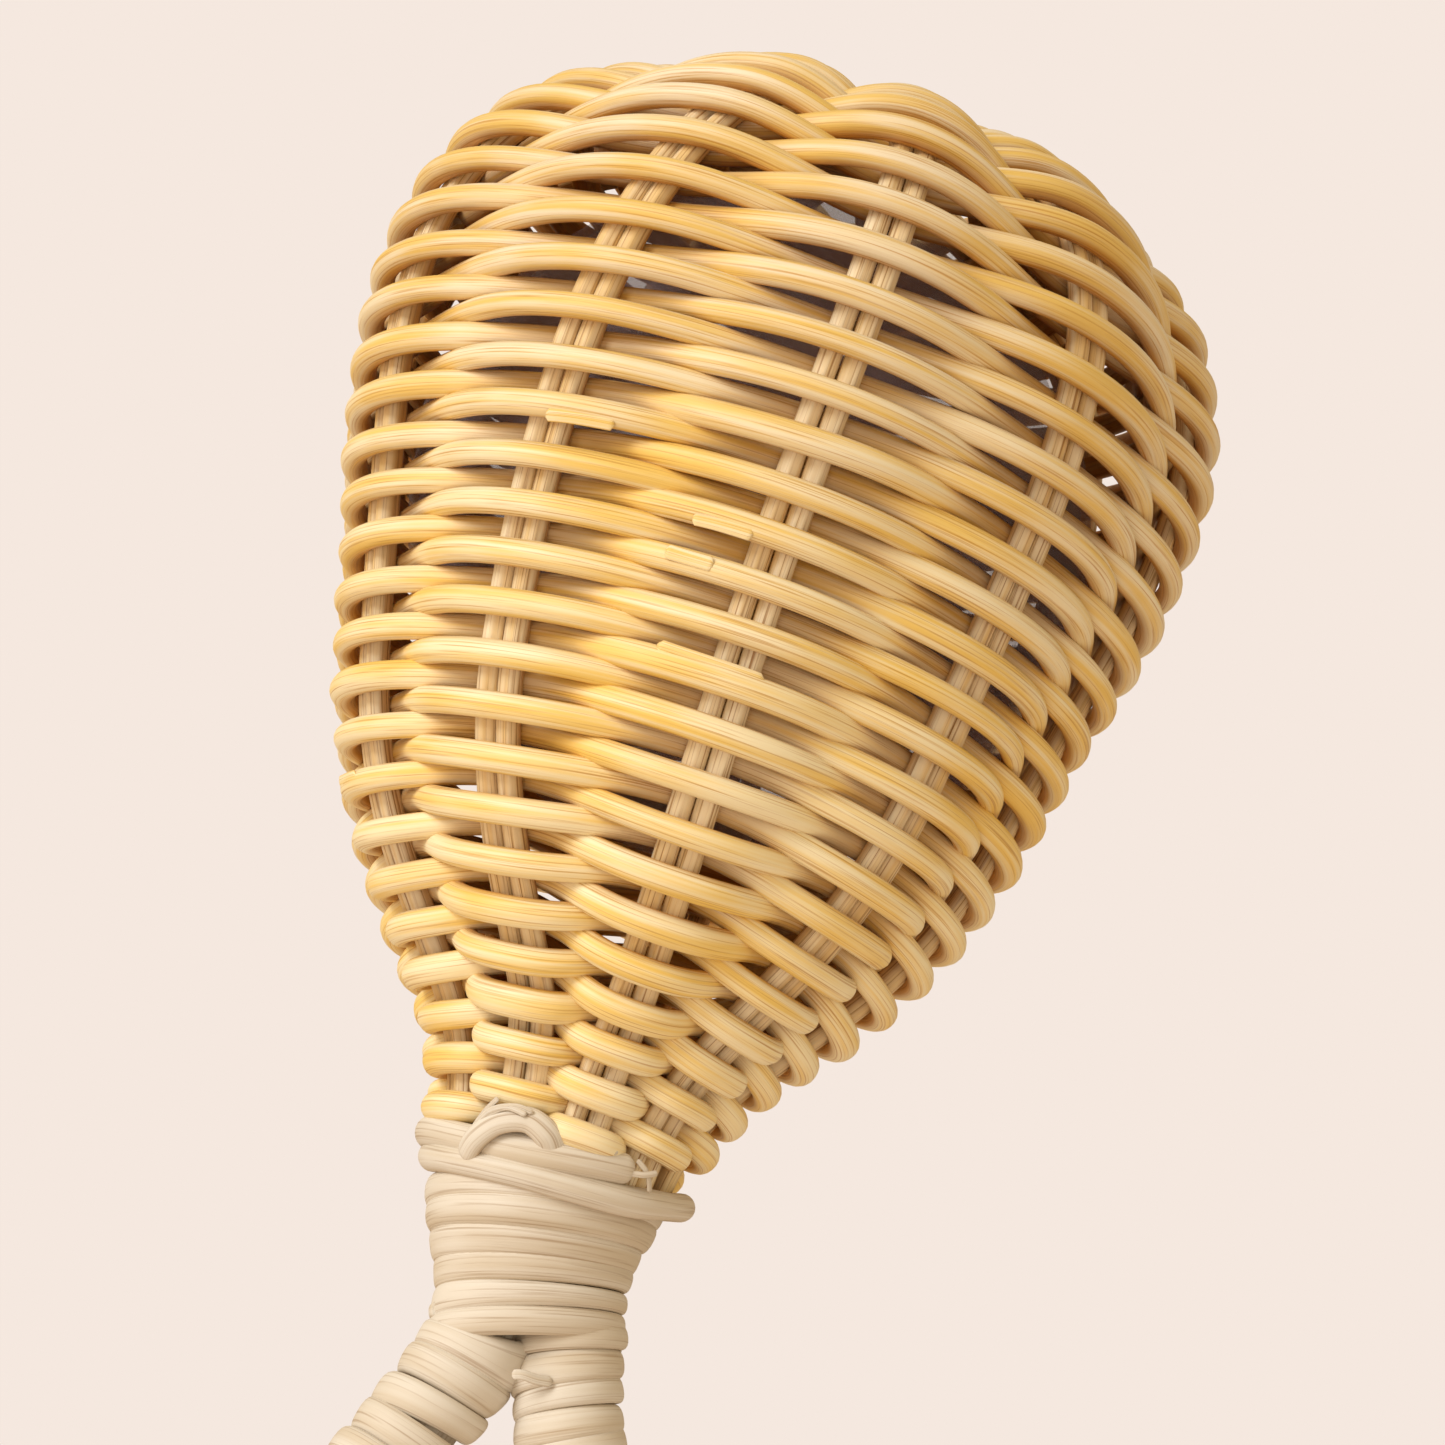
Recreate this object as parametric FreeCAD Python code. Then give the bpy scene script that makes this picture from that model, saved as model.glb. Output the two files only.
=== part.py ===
import FreeCAD, Part
import math
import os

# Woven rattan hand rattle: a pear-shaped head of round reed over nine pairs of rods, a wrapped neck,
# a wrapped loop to hold, and inside the head a clear capsule with loose beads.
# Millimetres and degrees. +Z runs up from the loop to the crown, the loop lies in the XZ plane,
# and the origin is the middle of the loop's round end.

# Reed and rod stock
ROD_D = 1.9                # each rod of a stake pair
WEAVER_D = 1.78            # round reed woven around the stakes
WEAVE_CLEARANCE = 0.045    # between a weaver and the rods that it passes
PAIR_CLEARANCE = 0.06      # between the two rods of a pair

# Head: the stakes' outline, from the neck to the crown, as tangent arcs.
# Its direction leans out from +Z by these angles at the ends of these lengths.
STAKE_PAIRS = 9
LEAN_BASE = 2.6
LEAN_CONE = 38.9
LEAN_BARREL = 15.0
LEAN_SHOULDER = 2.3
LEAN_TURN = -21.9
LEAN_DOME = -66.8
LEAN_CROWN = -85.4
FLARE_LENGTH = 13.8
CONE_LENGTH = 8.2
BELLY_LENGTH = 17.5
BARREL_LENGTH = 19.6
SHOULDER_LENGTH = 11.9
TURN_LENGTH = 9.9
DOME_LENGTH = 13.3
CROWN_LENGTH = 19.9
FIRST_STAKE_AZIMUTH = -41.9

# Weave
ROW_CLEARANCE = 0.09       # from one turn of the weaver to the next, where they cross
FIRST_ROW_UP = 2.72        # along the stakes, from the head's base to the first turn
WEAVER_LENGTHS = 7         # reeds joined one after another behind a stake
REED_END_GAP = 0.3
CORNER_ROOM_SHARE = 0.12   # where there is room, the weaver's corners are eased by this share of it
LEAST_WEAVING_ROOM = 1.02  # half the gap between two pairs where the weave starts, in weaver offsets
CROWN_OPENING_R = 9.6      # the rods of a pair end on this circle
LAST_ROW_ROOM = 1.1        # from that circle out to the last turn of the weaver
CROSS_RODS_UNDER = 5
CROSS_RODS_OVER = 4
CROSS_EDGE_CLEARANCE = 0.3

# Neck and loop handle
STAKE_TAIL = 4.9           # the stakes' stretch inside the neck
CORE_D = 6.2               # bundle of rod ends in each leg of the loop
CORE_GAP = 0.1
CORE_TO_RODS = 0.95        # from the cores to the stakes that stand around them in the neck
CORE_TOP_BELOW_BASE = 0.3
STRIP_THICKNESS = 1.3      # flat cane strip wound around neck and loop
STRIP_CLEARANCE = 0.05
NECK_LENGTH = 14.5
NECK_TURNS = 8
NECK_TURN_GAP = 0.04
NECK_TAPER_LENGTH = 4.5    # below the stakes, from the round top to the flat lower neck
STRIP_EDGE_R = 0.45
COLLAR_STRANDS = 2
COLLAR_CLEARANCE = 0.12    # from one strand to the next
COLLAR_TO_WEAVER = 0.29    # from the top strand to the weaver's first turn
LEG_SPREAD_TOP = 19.0
LEG_SPREAD_LOW = 32.0
NECK_BEND_R = 14.0
LOOP_R = 24.0              # centre line of the loop's round end
LEG_TURN_WIDTH = 3.0
LEG_TURN_GAP = 0.08
LEG_BINDING_CLEARANCE = 0.15   # from the legs' first turns to the neck and to each other

# Strand end tucked at the collar
TAIL_D = 1.3
TAIL_RISE = 3.4
TAIL_HALF_WIDTH = 2.6
TAIL_CLEARANCE = 0.12

# Sound capsule and beads
CAPSULE_TRAVEL = 3.0       # how far the capsule rattles up and down in the head
CAPSULE_WALL = 0.8
RIM_HEIGHT = 2.4
RIM_THICKNESS = 0.5
CAPSULE_CLEARANCE = 0.3
BEAD_D = 4.6
BEADS_AROUND = 6
BEAD_GAP = 0.8
BEAD_CLEARANCE = 0.1

ROD_R = ROD_D / 2
WEAVER_R = WEAVER_D / 2
CORE_R = CORE_D / 2
BOUND_LEG_R = CORE_R + STRIP_CLEARANCE + STRIP_THICKNESS
HEAD_BASE_R = CORE_D + CORE_GAP / 2 + CORE_TO_RODS + ROD_R
ROD_OFFSET = (ROD_D + PAIR_CLEARANCE) / 2
WEAVE_OFFSET = ROD_R + WEAVE_CLEARANCE + WEAVER_R
ROW_PITCH = WEAVER_D + ROW_CLEARANCE
COLLAR_PITCH = WEAVER_D + COLLAR_CLEARANCE
BEAD_SPACING = BEAD_D + BEAD_GAP
STAKE_STEP = 360 / STAKE_PAIRS
UP = FreeCAD.Vector(0, 0, 1)
ACROSS = FreeCAD.Vector(0, 1, 0)


# Outlines made of tangent arcs ------------------------------------------------------------------

def outline(start, sections):
    """Stations (length so far, across, along, lean) of a run of arcs whose lean changes evenly."""
    stations = [(0.0, start[0], start[1], sections[0][1])]
    for length, lean_from, lean_to in sections:
        so_far, across, along, _ = stations[-1]
        across_step, along_step = arc_step(length, lean_from, lean_to)
        stations.append((so_far + length, across + across_step, along + along_step, lean_to))
    return stations


def arc_step(length, lean_from, lean_to):
    """Across and along distances covered by an arc of this length between two leans."""
    first, last = math.radians(lean_from), math.radians(lean_to)
    if abs(last - first) < 1e-9:
        return length * math.sin(first), length * math.cos(first)
    radius = length / (last - first)
    return radius * (math.cos(first) - math.cos(last)), radius * (math.sin(last) - math.sin(first))


def outline_at(stations, length):
    """Across, along and lean at a length along an outline, straight on beyond its ends."""
    if length <= 0:
        _, across, along, lean = stations[0]
        step = arc_step(length, lean, lean)
        return across + step[0], along + step[1], lean
    for (begin, across, along, lean), (end, _, _, next_lean) in zip(stations, stations[1:]):
        if length <= end:
            here = lean + (next_lean - lean) * (length - begin) / (end - begin)
            step = arc_step(length - begin, lean, here)
            return across + step[0], along + step[1], here
    end, across, along, lean = stations[-1]
    step = arc_step(length - end, lean, lean)
    return across + step[0], along + step[1], lean


def outline_edges(stations, begin, end, place):
    """Lines and arcs of an outline between two lengths, put in space by place(across, along)."""
    cuts = [begin] + [s[0] for s in stations if begin + 1e-6 < s[0] < end - 1e-6] + [end]
    edges = []
    for low, high in zip(cuts, cuts[1:]):
        ends = [place(*outline_at(stations, length)[:2]) for length in (low, (low + high) / 2, high)]
        bend = abs(outline_at(stations, high)[2] - outline_at(stations, low)[2])
        edges.append(Part.LineSegment(ends[0], ends[2]).toShape() if bend < 1e-6
                     else Part.Arc(*ends).toShape())
    return edges


# Solids swept along a path ----------------------------------------------------------------------

def rod_along(edges, radius):
    """Round rod whose centre line is a run of tangent lines and arcs."""
    start = edges[0].valueAt(edges[0].FirstParameter)
    heading = edges[0].tangentAt(edges[0].FirstParameter)
    section = Part.Wire([Part.Circle(start, heading, radius).toShape()])
    return Part.Wire(edges).makePipeShell([section], True, False)


def rounded_run(points, cut_lengths):
    """Lines through the points with an arc at each inner one, which starts its cut length before it."""
    edges = []
    here = points[0]
    for corner, following, cut in zip(points[1:], points[2:], cut_lengths):
        before = (corner - here).normalize()
        after = (following - corner).normalize()
        turn = before.getAngle(after)
        first = corner - before * cut
        last = corner + after * cut
        sagitta = cut * math.tan(turn / 4)
        inward = (after - before).normalize()
        middle = (first + last) * 0.5 - inward * (sagitta * math.cos(turn / 2))
        edges.append(Part.LineSegment(here, first).toShape())
        edges.append(Part.Arc(first, middle, last).toShape())
        here = last
    edges.append(Part.LineSegment(here, points[-1]).toShape())
    return edges


# Head -------------------------------------------------------------------------------------------

HEAD = outline((HEAD_BASE_R, 0.0), [
    (FLARE_LENGTH, LEAN_BASE, LEAN_CONE),
    (CONE_LENGTH, LEAN_CONE, LEAN_CONE),
    (BELLY_LENGTH, LEAN_CONE, LEAN_BARREL),
    (BARREL_LENGTH, LEAN_BARREL, LEAN_BARREL),
    (SHOULDER_LENGTH, LEAN_BARREL, LEAN_SHOULDER),
    (TURN_LENGTH, LEAN_SHOULDER, LEAN_TURN),
    (DOME_LENGTH, LEAN_TURN, LEAN_DOME),
    (CROWN_LENGTH, LEAN_DOME, LEAN_CROWN),
])


def length_at_radius(radius):
    """Length along the stakes, on the dome, at which they are this far from the axis."""
    low, high = HEAD[6][0], HEAD[-1][0]
    for _ in range(60):
        middle = (low + high) / 2
        if outline_at(HEAD, middle)[0] > radius:
            low = middle
        else:
            high = middle
    return low


def length_at_height(height):
    """Length along the stakes, below the dome, at which they are this high above the head's base."""
    low, high = -STAKE_TAIL, HEAD[6][0]
    for _ in range(60):
        middle = (low + high) / 2
        if outline_at(HEAD, middle)[1] < height:
            low = middle
        else:
            high = middle
    return low


# Loop: from the head's base down through the neck and round one side to the bottom
CORE_X = (CORE_D + CORE_GAP) / 2
BEND_ACROSS, BEND_DOWN = arc_step(NECK_BEND_R * math.radians(LEG_SPREAD_TOP), 0, LEG_SPREAD_TOP)
LEG_TOP_X = CORE_X + BEND_ACROSS
LEG_BOTTOM_X = LOOP_R * math.cos(math.radians(LEG_SPREAD_LOW))
LEG_R = (LEG_BOTTOM_X - LEG_TOP_X) / (math.cos(math.radians(LEG_SPREAD_TOP))
                                      - math.cos(math.radians(LEG_SPREAD_LOW)))
LEG_LENGTH = LEG_R * math.radians(LEG_SPREAD_LOW - LEG_SPREAD_TOP)
LEG_DOWN = arc_step(LEG_LENGTH, LEG_SPREAD_TOP, LEG_SPREAD_LOW)[1]
ROUND_LENGTH = LOOP_R * math.radians(90 + LEG_SPREAD_LOW)
NECK_STRAIGHT = NECK_LENGTH - BEND_DOWN
LOOP = outline((CORE_X, 0.0), [
    (NECK_STRAIGHT, 0, 0),
    (NECK_BEND_R * math.radians(LEG_SPREAD_TOP), 0, LEG_SPREAD_TOP),
    (LEG_LENGTH, LEG_SPREAD_TOP, LEG_SPREAD_LOW),
    (ROUND_LENGTH, LEG_SPREAD_LOW, -90),
])
BASE_Z = LOOP_R * math.sin(math.radians(LEG_SPREAD_LOW)) + LEG_DOWN + NECK_LENGTH


def on_head(azimuth, sideways=0.0):
    """Function that puts a point of the head's outline at an azimuth, moved sideways around the axis."""
    turn = math.radians(azimuth)

    def place(across, along):
        return FreeCAD.Vector(across * math.cos(turn) - sideways * math.sin(turn),
                              across * math.sin(turn) + sideways * math.cos(turn),
                              BASE_Z + along)
    return place


def on_loop(side):
    """Function that puts a point of the loop's outline on the right, side 1, or the left, side -1."""
    def place(across, along):
        return FreeCAD.Vector(side * across, 0, BASE_Z - along)
    return place


def stake_pair(azimuth):
    """Two rods side by side, from inside the neck up over the head to the crown."""
    top = length_at_radius(CROWN_OPENING_R)
    rods = []
    for sideways in (-ROD_OFFSET, ROD_OFFSET):
        edges = outline_edges(HEAD, -STAKE_TAIL, top, on_head(azimuth, sideways))
        rods.append(rod_along(edges, ROD_R))
    return Part.makeCompound(rods)


def half_gap(across):
    """Half the distance between the facing rods of two neighbouring pairs, this far from the axis."""
    half_step = math.radians(STAKE_STEP / 2)
    return across * math.sin(half_step) - ROD_OFFSET * math.cos(half_step)


def weave_start():
    """Length along the stakes of the weaver's first stake: no lower than the rods leave it room."""
    length = FIRST_ROW_UP
    while half_gap(outline_at(HEAD, length)[0]) < LEAST_WEAVING_ROOM * WEAVE_OFFSET:
        length += ROW_PITCH
    return length


WEAVE_START = weave_start()


def weave_point(stake, beside, lift):
    """Point of the weaver's path near the stake of this number along it: beside the stake, and
    lifted off the stakes' centre line, outwards if positive."""
    length = WEAVE_START + ROW_PITCH * stake / STAKE_PAIRS
    across, along, lean = outline_at(HEAD, length)
    length += ROW_PITCH * beside / (2 * math.pi * across)
    across, along, lean = outline_at(HEAD, length)
    tilt = math.radians(lean)
    place = on_head(FIRST_STAKE_AZIMUTH - stake * STAKE_STEP, -beside)
    return place(across + lift * math.cos(tilt), along - lift * math.sin(tilt))


def corner_cut(stake, lift):
    """How far before and after the weaver's corner beside a stake its bend runs. Where the stakes are
    close, the reed lies on the rod like a taut string. Where they are wide apart, it bends more gently."""
    across = outline_at(HEAD, WEAVE_START + ROW_PITCH * stake / STAKE_PAIRS)[0]
    crossing = math.asin(WEAVE_OFFSET / half_gap(across))
    turn = crossing + math.copysign(math.radians(STAKE_STEP / 2), lift)
    return max(WEAVE_OFFSET * math.tan(turn / 2), CORNER_ROOM_SHARE * 2 * math.pi * across / STAKE_PAIRS)


def weaver_reed(first, last):
    """One reed from behind its first stake to behind its last, over one stake and under the next."""
    points = [weave_point(first, REED_END_GAP / 2, -WEAVE_OFFSET)]
    cut_lengths = []
    for stake in range(first, last + 1):
        lift = WEAVE_OFFSET if stake % 2 else -WEAVE_OFFSET
        cut = corner_cut(stake, lift)
        sides = [side for side in (-1, 1) if first < stake + side * 0.5 < last]
        for side in sides:
            points.append(weave_point(stake, side * (ROD_OFFSET + cut), lift))
            cut_lengths.append(cut)
    points.append(weave_point(last, -REED_END_GAP / 2, -WEAVE_OFFSET))
    return rod_along(rounded_run(points, cut_lengths), WEAVER_R)


def weaver_joints():
    """Stakes, counted along the weaver, at which one reed ends and the next begins."""
    last_length = length_at_radius(CROWN_OPENING_R + LAST_ROW_ROOM)
    stakes = int((last_length - WEAVE_START) / ROW_PITCH * STAKE_PAIRS)
    return [2 * round(stakes * reed / WEAVER_LENGTHS / 2 - 0.5) if reed else 0
            for reed in range(WEAVER_LENGTHS + 1)]


def crown_cross(count, layer):
    """Parallel rods across the crown, in the lower layer, 0, or the upper one, 1."""
    pitch = ROD_D + PAIR_CLEARANCE
    reach = CROWN_OPENING_R - CROSS_EDGE_CLEARANCE
    height = BASE_Z + outline_at(HEAD, length_at_radius(CROWN_OPENING_R))[1] + layer * pitch
    rods = []
    for rod in range(count):
        aside = (rod - (count - 1) / 2) * pitch
        half = math.sqrt(reach ** 2 - (abs(aside) + ROD_R) ** 2)
        start = FreeCAD.Vector(-half, aside, height) if layer == 0 else FreeCAD.Vector(aside, -half, height)
        along = FreeCAD.Vector(1, 0, 0) if layer == 0 else FreeCAD.Vector(0, 1, 0)
        rods.append(Part.makeCylinder(ROD_R, 2 * half, start, along))
    return Part.makeCompound(rods)


# Neck -------------------------------------------------------------------------------------------

def strip_ring(half_width, half_depth, low, high):
    """One closed turn of strip: flat-sided where it is wider than deep, rounded at its outer edges."""
    def slab(extra):
        radius = half_depth + extra
        straight = half_width - half_depth
        if straight < 1e-3:
            return Part.makeCylinder(radius, high - low, FreeCAD.Vector(0, 0, low), UP)
        left, right = FreeCAD.Vector(-straight, 0, low), FreeCAD.Vector(straight, 0, low)
        back, out = ACROSS * radius, FreeCAD.Vector(radius, 0, 0)
        edges = [Part.LineSegment(left - back, right - back).toShape(),
                 Part.Arc(right - back, right + out, right + back).toShape(),
                 Part.LineSegment(right + back, left + back).toShape(),
                 Part.Arc(left + back, left - out, left - back).toShape()]
        return Part.Face(Part.Wire(edges)).extrude(UP * (high - low))

    outer = slab(STRIP_THICKNESS)
    rims = [edge for edge in outer.Edges
            if all(abs(v.Z - low) < 1e-6 for v in edge.Vertexes)
            or all(abs(v.Z - high) < 1e-6 for v in edge.Vertexes)]
    return outer.makeFillet(min(STRIP_EDGE_R, (high - low) / 3), rims).cut(slab(0))


def collar_place(strand):
    """Radius and height above the head's base of a strand around the stakes' feet."""
    across, along, lean = outline_at(HEAD, WEAVE_START - WEAVER_D - COLLAR_TO_WEAVER)
    top_height = along - WEAVE_OFFSET * math.sin(math.radians(lean))
    height = top_height - (COLLAR_STRANDS - 1 - strand) * COLLAR_PITCH
    across, _, lean = outline_at(HEAD, length_at_height(height))
    return math.hypot(across, ROD_OFFSET) + WEAVE_OFFSET / math.cos(math.radians(lean)), height


def neck_binding():
    """Turns of strip down the neck: round over the stakes' ends, then flat over the two legs' cores."""
    collar_low = collar_place(0)[1] - WEAVER_R
    pitch = (NECK_LENGTH + collar_low) / NECK_TURNS
    rings = []
    for turn in range(NECK_TURNS):
        high = collar_low - turn * pitch - NECK_TURN_GAP
        low = collar_low - (turn + 1) * pitch
        stakes_across = outline_at(HEAD, max(high, -STAKE_TAIL))[0]
        over_stakes = math.hypot(stakes_across, ROD_OFFSET) + ROD_R + STRIP_CLEARANCE
        if high > -STAKE_TAIL:
            half_width = half_depth = over_stakes
        else:
            core_x, _, spread = outline_at(LOOP, -low)
            half_width = core_x + CORE_R / math.cos(math.radians(spread)) + STRIP_CLEARANCE
            share = min(1, (-high - STAKE_TAIL) / NECK_TAPER_LENGTH)
            flat = CORE_R + STRIP_CLEARANCE
            half_depth = min(half_width, over_stakes + (flat - over_stakes) * share)
        rings.append(strip_ring(half_width, half_depth, BASE_Z + low, BASE_Z + high))
    return Part.makeCompound(rings)


def collar_strands():
    """Strands bound around the foot of the head, outside the stakes."""
    rings = []
    for strand in range(COLLAR_STRANDS):
        ring_r, height = collar_place(strand)
        rings.append(Part.makeTorus(ring_r, WEAVER_R, FreeCAD.Vector(0, 0, BASE_Z + height), UP))
    return Part.makeCompound(rings)


def binding_tail():
    """End of the strip: it springs from the collar, arches in front of the first rows and is tucked in."""
    across, along, lean = outline_at(HEAD, WEAVE_START + ROW_PITCH)
    front = -(across + WEAVE_OFFSET + WEAVER_R + TAIL_CLEARANCE + TAIL_D / 2)
    foot = BASE_Z + WEAVER_R
    points = [FreeCAD.Vector(-TAIL_HALF_WIDTH, front, foot),
              FreeCAD.Vector(0, front, foot + TAIL_RISE),
              FreeCAD.Vector(TAIL_HALF_WIDTH, front, foot)]
    return rod_along([Part.Arc(*points).toShape()], TAIL_D / 2)


# Loop handle ------------------------------------------------------------------------------------

def handle_core(side):
    """Half of the loop's core, from inside the neck round to the bottom."""
    edges = outline_edges(LOOP, CORE_TOP_BELOW_BASE, LOOP[-1][0], on_loop(side))
    return rod_along(edges, CORE_R)


def leg_binding_start():
    """Length along the loop where the wrapped legs stand clear of the neck's last turn and each other."""
    tilt = math.radians(LEG_SPREAD_TOP)
    length = LOOP[2][0] + (BOUND_LEG_R * math.sin(tilt) + LEG_BINDING_CLEARANCE) / math.cos(tilt)
    while True:
        across, _, spread = outline_at(LOOP, length)
        if across - BOUND_LEG_R * math.cos(math.radians(spread)) >= LEG_BINDING_CLEARANCE / 2:
            return length
        length += 0.05


def strip_turn(side, begin, end):
    """One closed turn of strip around the core, between two lengths that lie on one arc of the loop."""
    across, along, spread = outline_at(LOOP, begin)
    last_spread = outline_at(LOOP, end)[2]
    tilt = math.radians(spread)
    heading = FreeCAD.Vector(side * math.sin(tilt), 0, -math.cos(tilt))
    at = on_loop(side)(across, along)
    outer = Part.Face(Part.Wire([Part.Circle(at, heading, BOUND_LEG_R).toShape()]))
    inner = Part.Face(Part.Wire([Part.Circle(at, heading, CORE_R + STRIP_CLEARANCE).toShape()]))
    radius = (end - begin) / math.radians(last_spread - spread)
    inward = FreeCAD.Vector(side * math.cos(tilt), 0, math.sin(tilt))
    centre = at + inward * radius
    turn = -side * (last_spread - spread)
    return outer.cut(inner).revolve(centre, ACROSS, turn)


def strip_turns(side, begin, end):
    """Turns of strip side by side between two lengths of the loop."""
    count = max(1, round((end - begin) / LEG_TURN_WIDTH))
    width = (end - begin) / count
    return [strip_turn(side, begin + turn * width, begin + (turn + 1) * width - LEG_TURN_GAP)
            for turn in range(count)]


# Sound capsule ----------------------------------------------------------------------------------

def room_around(height):
    """Radius of the largest ball on the axis, at this height above the head's base, that clears the weave."""
    inside = WEAVE_OFFSET + WEAVER_R
    steps = 600
    top = length_at_radius(CROWN_OPENING_R)
    nearest = min(math.hypot(across, along - height)
                  for across, along, _ in (outline_at(HEAD, top * step / steps) for step in range(steps + 1)))
    crown = outline_at(HEAD, top)[1] - ROD_R - height
    return min(nearest - inside, crown)


def capsule_fit():
    """Lowest place of the capsule's centre, above the head's base, and the capsule's radius: the ball
    that has as much room at both ends of its travel."""
    low, high = 0.0, outline_at(HEAD, length_at_radius(CROWN_OPENING_R))[1]
    for _ in range(40):
        middle = (low + high) / 2
        if room_around(middle + CAPSULE_TRAVEL) > room_around(middle):
            low = middle
        else:
            high = middle
    return low, room_around(low) - CAPSULE_CLEARANCE


CAPSULE_LOWEST, CAPSULE_R = capsule_fit()


def half_shell(centre, upper):
    """Half of a hollow ball, cut at its middle."""
    latitudes = (0, 90) if upper else (-90, 0)
    outer = Part.makeSphere(CAPSULE_R, centre, UP, latitudes[0], latitudes[1], 360)
    inner = Part.makeSphere(CAPSULE_R - CAPSULE_WALL, centre, UP, latitudes[0], latitudes[1], 360)
    return outer.cut(inner)


def capsule_rim(centre):
    """Band that closes the joint between the two halves."""
    low = centre - UP * (RIM_HEIGHT / 2)
    band = Part.makeCylinder(CAPSULE_R + RIM_THICKNESS, RIM_HEIGHT, low, UP)
    return band.cut(Part.makeSphere(CAPSULE_R, centre))


def bead_places():
    """Where the beads' centres stand around the capsule's axis: one in the middle, the rest around it."""
    ring = [(BEAD_SPACING * math.cos(2 * math.pi * bead / BEADS_AROUND),
             BEAD_SPACING * math.sin(2 * math.pi * bead / BEADS_AROUND)) for bead in range(BEADS_AROUND)]
    return [(0.0, 0.0)] + ring


def bead_drop(x, y):
    """How far below the capsule's centre a bead lies there, on the inside of the shell."""
    reach = CAPSULE_R - CAPSULE_WALL - BEAD_D / 2 - BEAD_CLEARANCE
    return math.sqrt(reach ** 2 - x ** 2 - y ** 2)


# Make every node --------------------------------------------------------------------------------

nodes = {}
for pair in range(STAKE_PAIRS):
    nodes[f"stake_pair_{pair + 1}"] = stake_pair(FIRST_STAKE_AZIMUTH + pair * STAKE_STEP)
joints = weaver_joints()
for reed in range(WEAVER_LENGTHS):
    nodes[f"weaver_{reed + 1}"] = weaver_reed(joints[reed], joints[reed + 1])
nodes["crown_rods_under"] = crown_cross(CROSS_RODS_UNDER, 0)
nodes["crown_rods_over"] = crown_cross(CROSS_RODS_OVER, 1)
nodes["collar_strands"] = collar_strands()
nodes["neck_binding"] = neck_binding()
nodes["binding_tail"] = binding_tail()

leg_end, loop_end = LOOP[3][0], LOOP[4][0]
for side, name in ((-1, "left"), (1, "right")):
    nodes[f"handle_core_{name}"] = handle_core(side)
    nodes[f"leg_binding_{name}"] = Part.makeCompound(
        strip_turns(side, leg_binding_start(), leg_end))
nodes["grip_binding"] = Part.makeCompound(
    strip_turns(-1, leg_end, loop_end) + strip_turns(1, leg_end, loop_end))

middle = FreeCAD.Vector(0, 0, BASE_Z + CAPSULE_LOWEST)
nodes["capsule_lower_half"] = half_shell(middle, False)
nodes["capsule_upper_half"] = half_shell(middle, True)
nodes["capsule_rim"] = capsule_rim(middle)
for number, (x, y) in enumerate(bead_places()):
    drop = bead_drop(x, y)
    nodes[f"bead_{number + 1}"] = Part.makeSphere(BEAD_D / 2, middle + FreeCAD.Vector(x, y, -drop))
    print(f"bead_{number + 1} slides {2 * drop:.3f}")

os.makedirs("parts", exist_ok=True)
for name, shape in nodes.items():
    if not shape.isValid():
        raise ValueError(f"{name} is not a valid shape")
    shape.exportStep(f"parts/{name}.step")
print(f"head base {BASE_Z:.3f}")
print(f"capsule centre {middle.z:.3f}, radius {CAPSULE_R:.3f}, slides {CAPSULE_TRAVEL:.3f}")
print(f"weaver joins {joints}")
print(f"{len(nodes)} nodes")
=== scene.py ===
import math

import bpy
import numpy as np
from mathutils import Matrix, Vector


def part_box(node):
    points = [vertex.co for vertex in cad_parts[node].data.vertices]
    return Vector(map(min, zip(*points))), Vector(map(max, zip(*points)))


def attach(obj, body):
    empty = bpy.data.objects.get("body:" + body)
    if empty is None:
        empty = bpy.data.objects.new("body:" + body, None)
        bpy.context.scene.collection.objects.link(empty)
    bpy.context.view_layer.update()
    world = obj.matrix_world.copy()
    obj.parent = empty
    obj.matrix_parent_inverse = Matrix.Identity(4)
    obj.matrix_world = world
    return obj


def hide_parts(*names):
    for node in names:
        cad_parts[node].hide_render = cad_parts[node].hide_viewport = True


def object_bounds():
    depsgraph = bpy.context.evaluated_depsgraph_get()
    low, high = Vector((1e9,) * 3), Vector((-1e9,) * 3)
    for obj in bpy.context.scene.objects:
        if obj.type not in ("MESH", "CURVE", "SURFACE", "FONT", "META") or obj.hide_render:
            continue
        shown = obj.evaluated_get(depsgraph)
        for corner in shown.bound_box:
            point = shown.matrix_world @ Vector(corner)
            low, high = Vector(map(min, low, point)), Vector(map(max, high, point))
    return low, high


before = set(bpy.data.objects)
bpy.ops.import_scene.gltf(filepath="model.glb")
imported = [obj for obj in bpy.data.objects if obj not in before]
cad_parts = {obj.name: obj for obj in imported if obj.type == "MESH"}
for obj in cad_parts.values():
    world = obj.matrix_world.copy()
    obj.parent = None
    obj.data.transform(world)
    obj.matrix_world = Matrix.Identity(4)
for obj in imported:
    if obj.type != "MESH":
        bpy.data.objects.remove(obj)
cad_box = [list(corner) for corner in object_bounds()]

# The view ---------------------------------------------------------------------------------------
# The rattle hangs by its loop with the head swung to the right, and the eye looks a little up at it through
# a long lens. A pale sheet lies well below, and the room around is the same pale colour.
MM = 0.001
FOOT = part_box("handle_core_left")[1].z + 0.3 * MM   # height of the head's foot, just above the cores' ends
SWING = math.radians(16.8)
LEAN_AWAY = math.radians(-15.7)
AIM = Vector((0, 0, FOOT + 50 * MM))
AIM_RIGHT, AIM_ABOVE = 0.50 * MM, 10.3 * MM          # of the middle of the view
EYE_DISTANCE = 347 * MM
LENS = 107.3
PALE_ROOM = (0.913, 0.807, 0.738, 1)

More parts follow.
